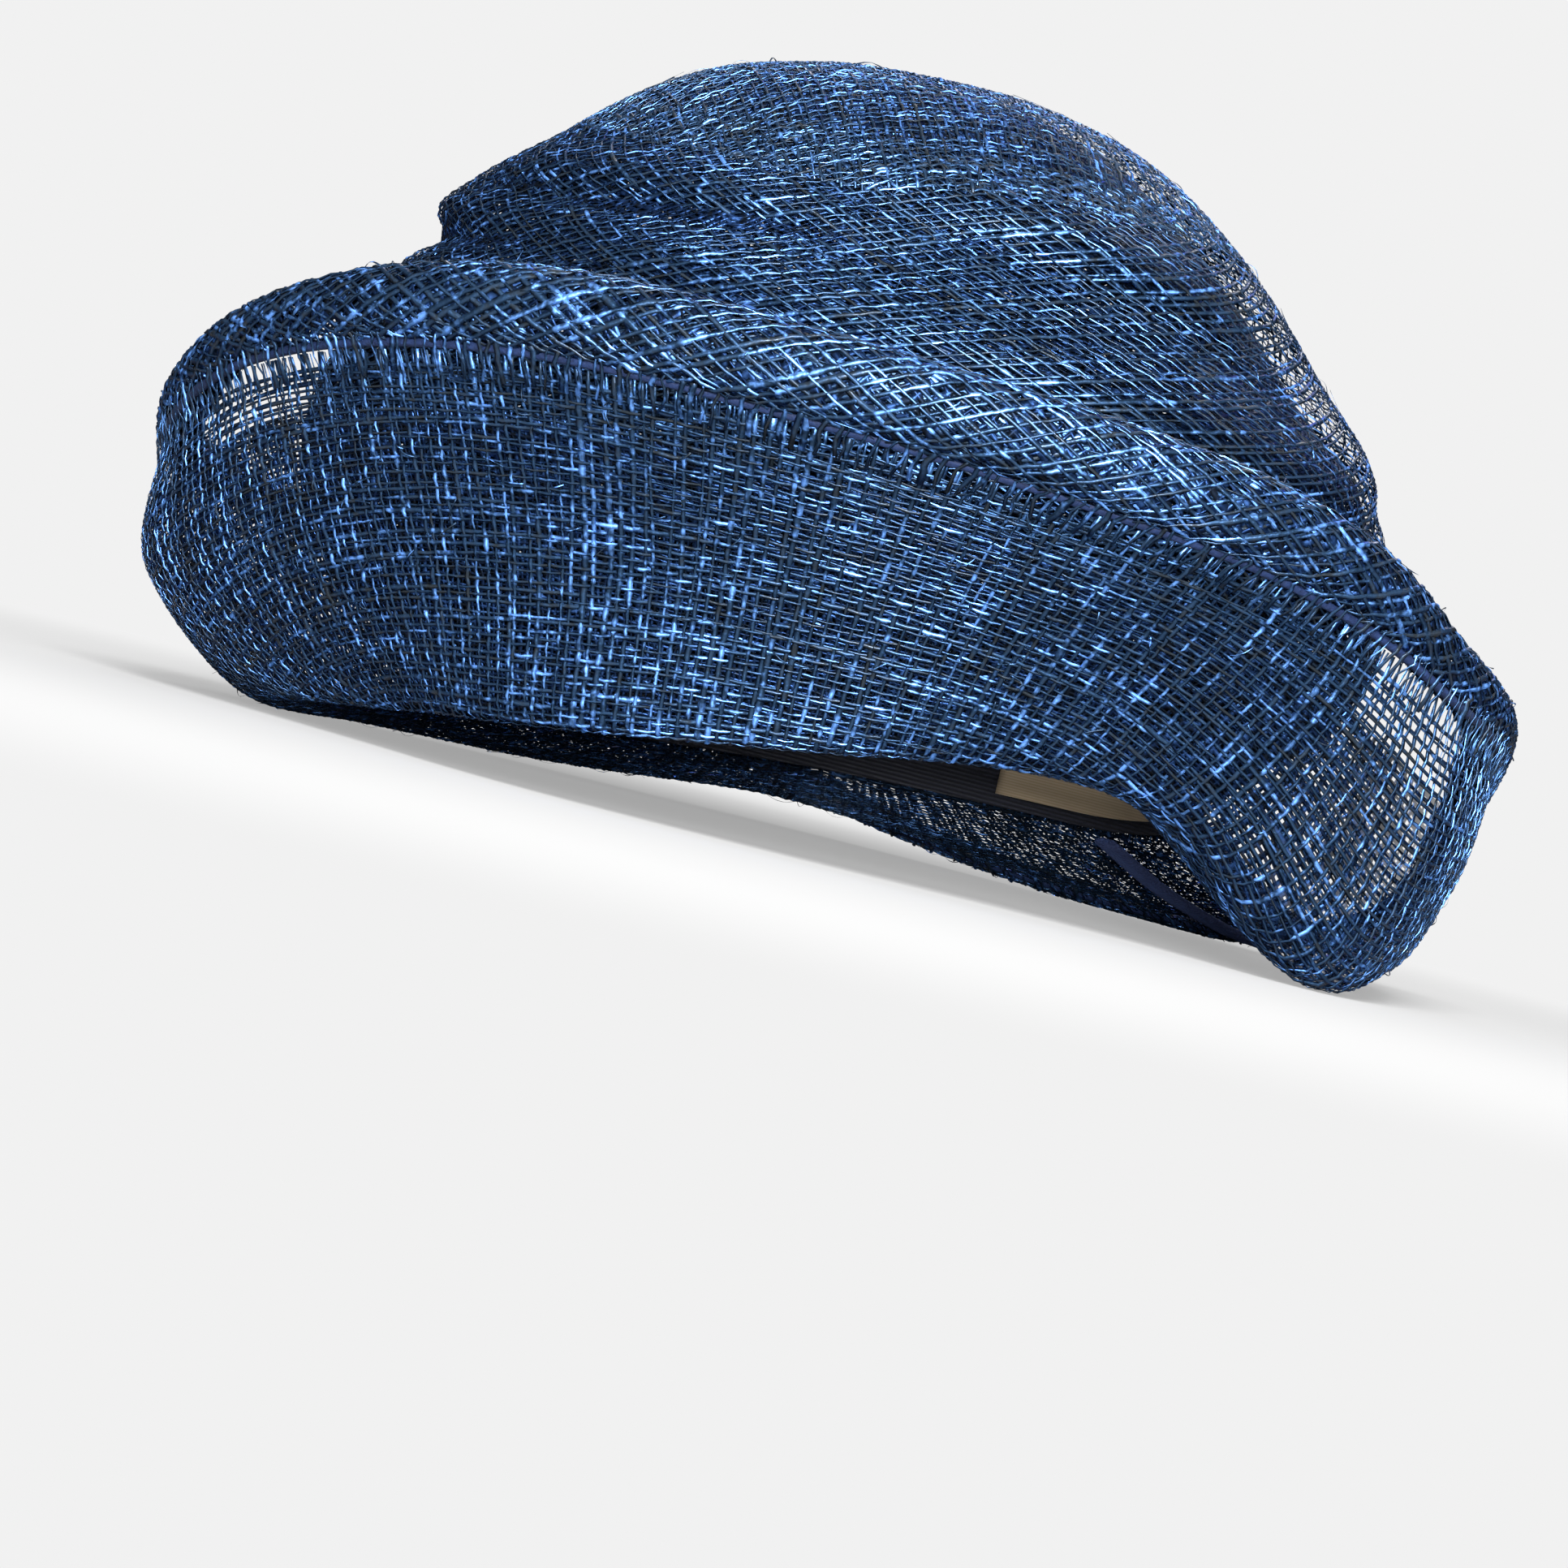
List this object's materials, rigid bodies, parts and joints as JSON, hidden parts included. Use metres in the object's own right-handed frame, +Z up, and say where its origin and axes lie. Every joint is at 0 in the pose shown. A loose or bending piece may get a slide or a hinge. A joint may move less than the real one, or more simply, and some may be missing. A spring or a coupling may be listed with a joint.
{
  "type": "floppy hat",
  "caption": "Soft brimmed hat of open-weave straw: a draped, ballooned crown on a wide brim turned up in front, with a rolled wired edge.",
  "frame": {"origin": "on the floor, below the middle of the hat's box, with the hat resting on its brim", "axes": "+Z up, the front of the hat faces -Y, the wearer's left is +X"},
  "size_m": [0.3042, 0.3096, 0.1675],
  "materials": {
    "straw": "stiffened open-weave straw with a silky sheen",
    "trim": "matt velvety binding",
    "ribbon": "ribbed ribbon",
    "label_cloth": "plain woven strip"
  },
  "bodies": {
    "root": {"crown": "straw", "brim": "straw", "brim_roll": "straw", "edge_wire": "trim", "brim_back_seam": "trim", "headband": "ribbon", "label": "label_cloth"}
  },
  "joints": []
}
